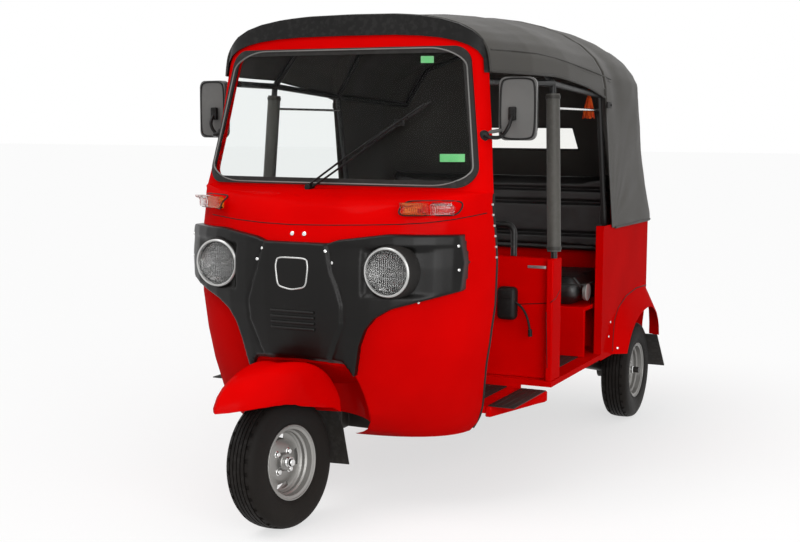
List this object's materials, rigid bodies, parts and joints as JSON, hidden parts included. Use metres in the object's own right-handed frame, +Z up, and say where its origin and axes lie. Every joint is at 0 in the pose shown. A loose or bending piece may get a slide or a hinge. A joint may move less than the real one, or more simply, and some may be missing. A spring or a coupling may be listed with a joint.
{
  "type": "auto rickshaw",
  "caption": "Three-wheeled auto rickshaw with a steered front wheel, rounded steel cab, open sides, bench seat, rear engine door and a soft folding top.",
  "frame": {"origin": "on the ground, on the centre line, at the middle of the overall length", "axes": "+Z up, -Y forwards, +X the vehicle's left side"},
  "size_m": [1.3, 2.6266, 1.686],
  "materials": {
    "red_paint": "gloss",
    "rubber": "matte",
    "tyre": "matte",
    "clear_glass": "clear",
    "clear_sheet": "clear",
    "black_plastic": "satin",
    "lamp_lens": "clear",
    "amber_lens": "clear",
    "red_lens": "clear",
    "black_steel": "satin",
    "seat_cover": "satin",
    "bare_plate": "satin",
    "engine_metal": "matte",
    "grey_vinyl": "matte",
    "chrome": "polished",
    "canopy_cloth": "matte",
    "silver_rim": "satin"
  },
  "bodies": {
    "body": {"front_cowl": "red_paint", "windscreen_frame": "red_paint", "windscreen_seal": "rubber", "windscreen_glass": "clear_glass", "front_bezel": "black_plastic", "headlamps": "lamp_lens", "indicators": "amber_lens", "wiper": "black_plastic", "roof_visor": "black_plastic", "mirrors": "black_plastic", "instrument_panel": "black_plastic", "wheel_housing": "black_steel", "floor_pan": "black_steel", "side_steps": "black_steel", "floor_mats": "rubber", "chassis_frame": "black_steel", "partition": "red_paint", "driver_seat_base": "red_paint", "driver_cushion": "seat_cover", "driver_backrest": "seat_cover", "passenger_seat_base": "red_paint", "passenger_cushion": "seat_cover", "passenger_backrest": "seat_cover", "quarter_panels": "red_paint", "rear_mudguards": "red_paint", "rear_panel": "red_paint", "mud_flaps": "rubber", "tail_lamps": "red_lens", "rear_bumper": "black_steel", "number_plate": "bare_plate", "engine": "engine_metal", "exhaust": "black_steel", "rear_suspension": "black_steel", "roof_frame": "black_steel", "pillar_pads": "grey_vinyl", "grab_rail": "chrome", "canopy_roof": "canopy_cloth", "canopy_back": "canopy_cloth", "rear_window": "clear_sheet"},
    "steering": {"steering_column": "black_steel", "handlebar": "black_steel", "handlebar_grips": "rubber", "front_mudguard": "red_paint", "front_mud_flap": "rubber"},
    "front_wheel": {"front_rim": "silver_rim", "front_tyre": "tyre"},
    "rear_left_wheel": {"rear_left_rim": "silver_rim", "rear_left_tyre": "tyre"},
    "rear_right_wheel": {"rear_right_rim": "silver_rim", "rear_right_tyre": "tyre"},
    "engine_door": {"engine_door": "red_paint"}
  },
  "joints": [
    {"name": "steer", "type": "hinge", "parent": "body", "child": "steering", "pos_m": [0, -1.1325, 0], "axis": [0, 0.4848, 0.8746], "range_deg": [-35.5, 54.5]},
    {"name": "front_wheel_spin", "type": "hinge", "parent": "steering", "child": "front_wheel", "pos_m": [-0.00303, -1.03728, 0.20914], "axis": [0.9863, -0.1444, 0.08], "continuous": true},
    {"name": "rear_left_spin", "type": "hinge", "parent": "body", "child": "rear_left_wheel", "pos_m": [0.546, 0.9625, 0.207], "axis": [1, 0, 0], "continuous": true},
    {"name": "rear_right_spin", "type": "hinge", "parent": "body", "child": "rear_right_wheel", "pos_m": [-0.546, 0.9625, 0.207], "axis": [1, 0, 0], "continuous": true},
    {"name": "engine_door_hinge", "type": "hinge", "parent": "body", "child": "engine_door", "pos_m": [0, 1.214, 0.706], "axis": [1, 0, 0], "range_deg": [0, 75]}
  ]
}
